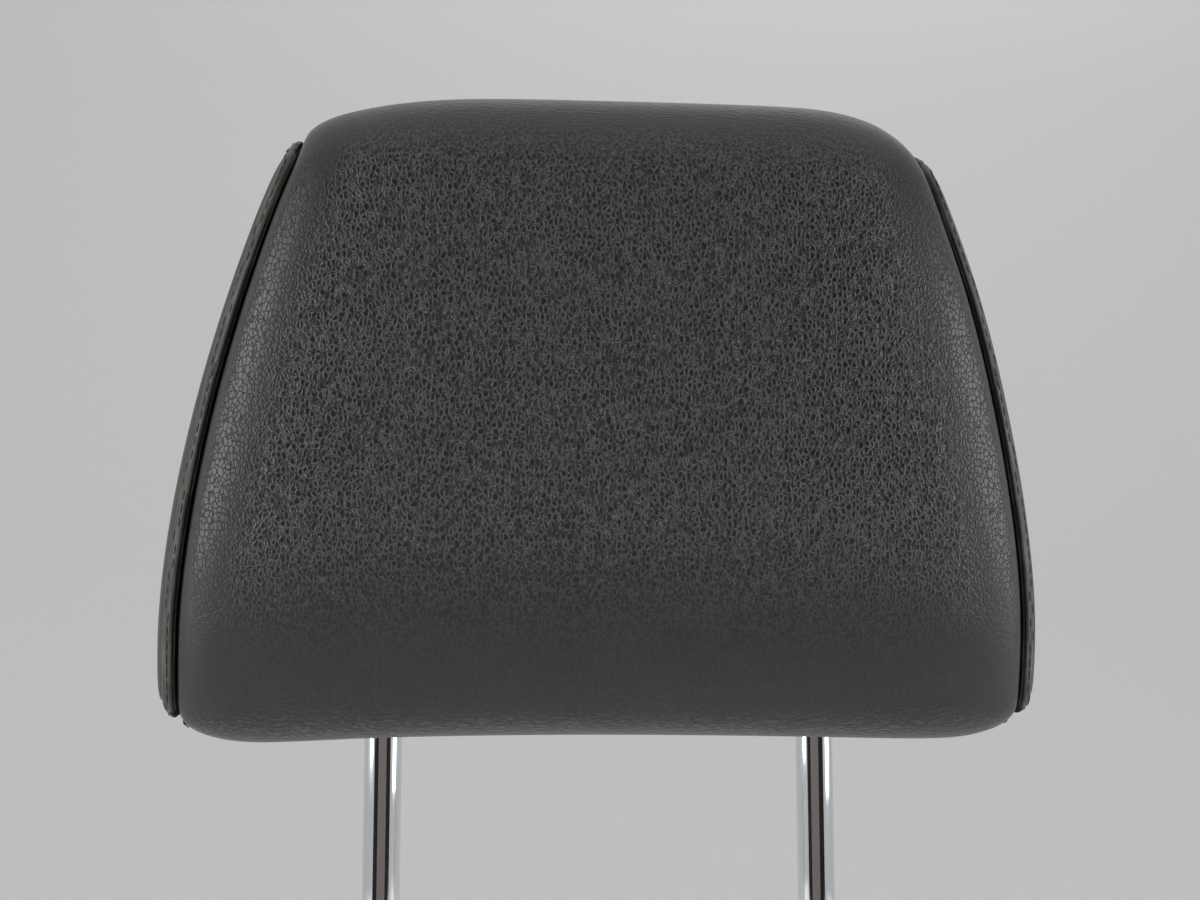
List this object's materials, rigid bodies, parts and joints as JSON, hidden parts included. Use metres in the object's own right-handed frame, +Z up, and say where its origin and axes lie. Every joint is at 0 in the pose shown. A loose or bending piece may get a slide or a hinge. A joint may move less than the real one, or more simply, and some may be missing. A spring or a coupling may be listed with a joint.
{
  "type": "car headrest",
  "caption": "Padded leatherette headrest with domed, sewn-in sides on a bent chrome tube, whose two legs slide into the top of a car seat.",
  "frame": {"origin": "midway between the axes of the two legs, at the height where they enter the foot of the pad", "axes": "+Z up along the legs, -Y towards the passenger's head (the front of the pad), +X to the right of someone who looks at the front"},
  "size_m": [0.2816, 0.1061, 0.3768],
  "materials": {
    "chrome_steel": "polished chrome plate on a bent steel tube",
    "leatherette": "black pebble-grained leatherette with a satin sheen",
    "pad_foam": "moulded open-cell polyurethane foam",
    "carrier_plastic": "moulded dark grey plastic",
    "screw_steel": "zinc-plated steel",
    "black_plastic": "black moulded plastic"
  },
  "bodies": {
    "root": {"frame_tube": "chrome_steel", "cover_main_panel": "leatherette", "cover_side_left": "leatherette", "cover_side_right": "leatherette", "foam_core": "pad_foam", "carrier_front_shell": "carrier_plastic", "carrier_rear_shell": "carrier_plastic", "carrier_screw_1": "screw_steel", "carrier_screw_2": "screw_steel", "carrier_screw_3": "screw_steel", "carrier_screw_4": "screw_steel", "leg_rosette_left": "black_plastic", "leg_rosette_right": "black_plastic", "closure_profile_front": "black_plastic", "closure_profile_rear": "black_plastic"}
  },
  "joints": []
}
